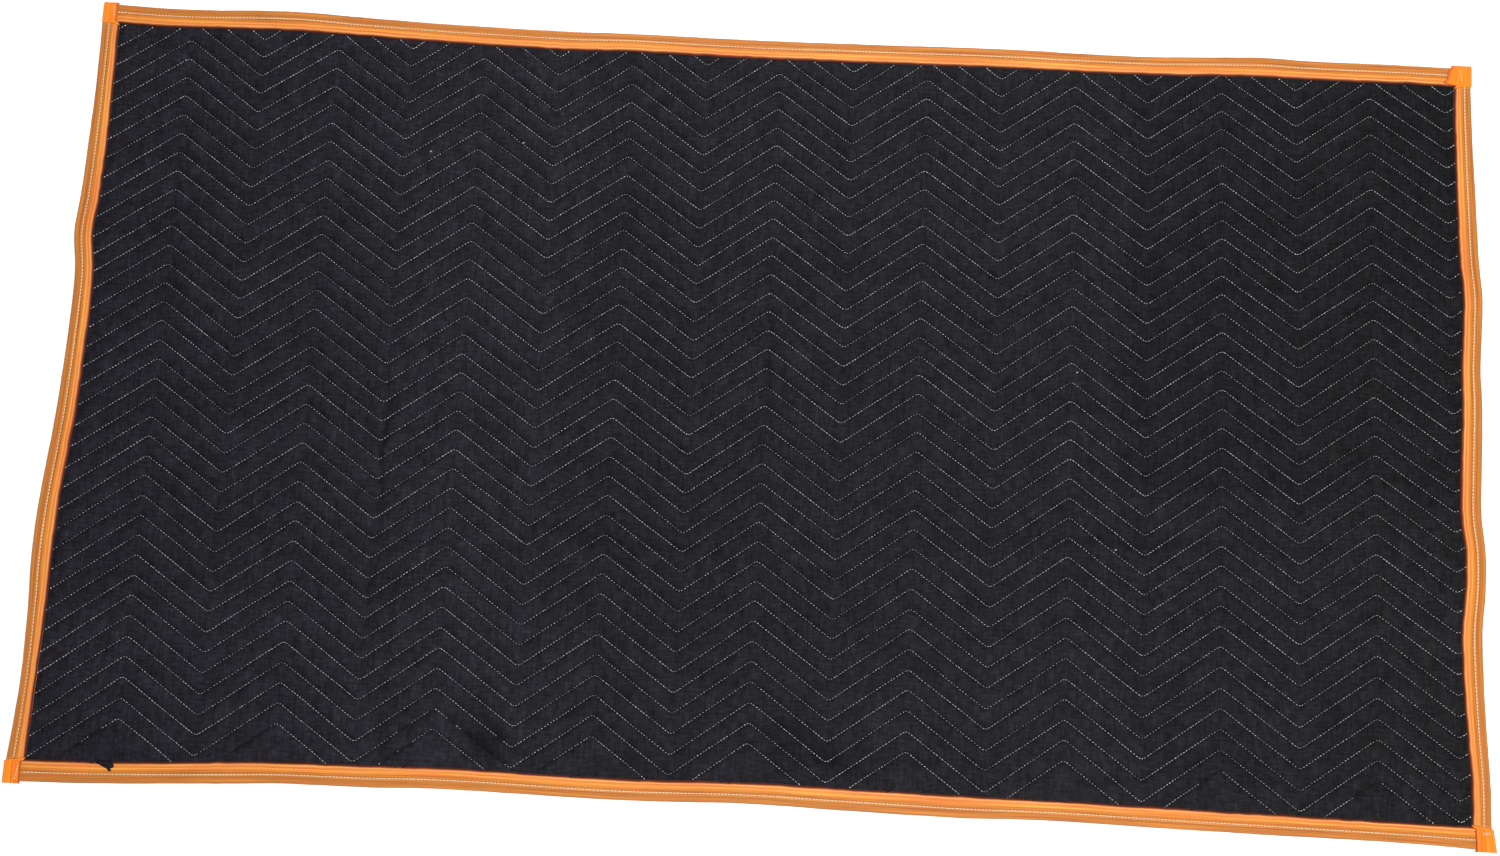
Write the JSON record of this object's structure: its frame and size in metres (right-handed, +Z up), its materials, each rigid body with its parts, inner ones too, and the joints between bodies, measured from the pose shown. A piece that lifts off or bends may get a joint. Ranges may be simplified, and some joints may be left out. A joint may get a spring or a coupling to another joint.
{
  "type": "moving pad",
  "caption": "Quilted moving pad lying flat: black chevron-quilted cloth with tape bound over its four edges, for wrapping and cushioning furniture.",
  "frame": {"origin": "middle of the underside, on the surface that the pad lies on", "axes": "+X along the pad's long edges, +Y towards its far long edge, +Z up out of the quilted top"},
  "size_m": [1.8376, 1.0186, 0.0059],
  "materials": {
    "quilted_cloth": "matt black non-woven cloth quilted with grey thread",
    "binding_tape": "orange woven tape, slightly shiny"
  },
  "bodies": {
    "root": {"quilted_panel": "quilted_cloth", "binding_far": "binding_tape", "binding_near": "binding_tape", "binding_left": "binding_tape", "binding_right": "binding_tape"}
  },
  "joints": []
}
